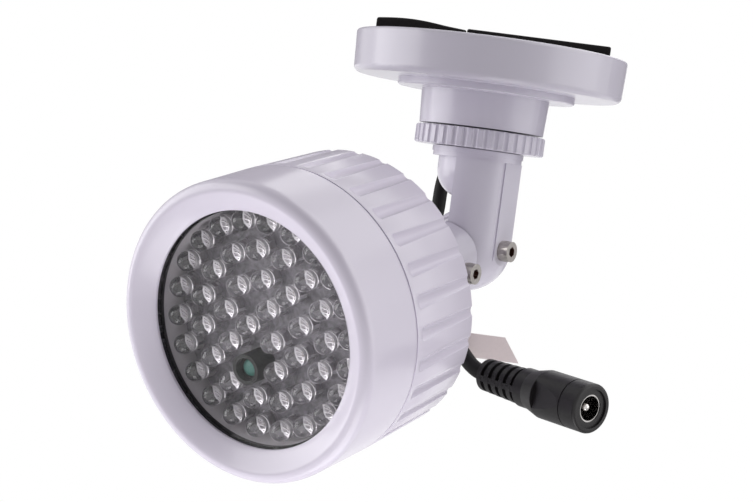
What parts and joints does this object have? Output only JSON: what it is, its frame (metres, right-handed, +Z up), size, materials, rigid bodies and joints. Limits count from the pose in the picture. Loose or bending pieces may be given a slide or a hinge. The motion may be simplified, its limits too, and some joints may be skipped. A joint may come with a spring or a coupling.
{
  "type": "infrared illuminator",
  "caption": "Round lamp head with rings of clear emitters behind a window, on a tilting knuckle under a turning ceiling bracket, with a short power lead.",
  "frame": {"origin": "centre of the ceiling face of the foam pads, on the bracket's turning axis", "axes": "+Z up into the ceiling, -Y the way the lamp faces, +X along the tilt hinge"},
  "size_m": [0.1042, 0.1402, 0.1169],
  "materials": {
    "white_gloss": "glossy white, faintly lilac",
    "plate": "plain moulded",
    "foam": "black closed-cell foam",
    "steel": "nickel-plated steel",
    "post_metal": "painted white",
    "seal": "black rubber",
    "window": "clear",
    "spacer": "dark moulded",
    "board": "dark solder mask",
    "emitter": "clear resin",
    "sensor": "teal lens",
    "component": "moulded black",
    "cable": "satin black sheath",
    "contact": "nickel plate",
    "paper": "bare paper label"
  },
  "bodies": {
    "bracket": {"base_disc": "white_gloss", "base_plate": "plate", "foam_pad_left": "foam", "foam_pad_right": "foam"},
    "lock_ring": {"lock_ring": "white_gloss"},
    "arm": {"arm_body": "white_gloss", "pivot_washer": "steel", "pivot_screw": "steel", "hinge_screw": "steel", "hinge_nut": "steel", "hinge_washer": "steel"},
    "head": {"knuckle_body": "white_gloss", "knuckle_cap": "white_gloss", "clamp_screws": "steel", "clamp_nuts": "steel", "tail_post": "post_metal", "tail_nut": "steel", "rear_housing": "white_gloss", "seam_gasket": "seal", "front_bezel": "white_gloss", "window": "window", "window_gasket": "seal", "spacer_ring": "spacer", "emitter_board": "board", "emitters_inner": "emitter", "emitters_second": "emitter", "emitters_third": "emitter", "emitters_outer": "emitter", "sensor_sleeve": "spacer", "light_sensor": "sensor", "driver_board": "board", "driver_screws": "steel", "driver_parts": "component", "board_header": "component", "cable_grommet": "seal", "cable": "cable", "strain_relief": "cable", "jack_body": "cable", "jack_sleeve": "contact", "jack_pin": "contact", "label_flag": "paper"}
  },
  "joints": [
    {"name": "pan", "type": "hinge", "parent": "bracket", "child": "arm", "pos_m": [0, 0, -0.02], "axis": [0, 0, 1], "range_deg": [-175, 175]},
    {"name": "lock_turn", "type": "hinge", "parent": "arm", "child": "lock_ring", "pos_m": [0, 0, -0.02825], "axis": [0, 0, 1], "range_deg": [-60, 60]},
    {"name": "tilt", "type": "hinge", "parent": "arm", "child": "head", "pos_m": [0, 0, -0.057], "axis": [1, 0, 0], "range_deg": [0, 75]}
  ]
}
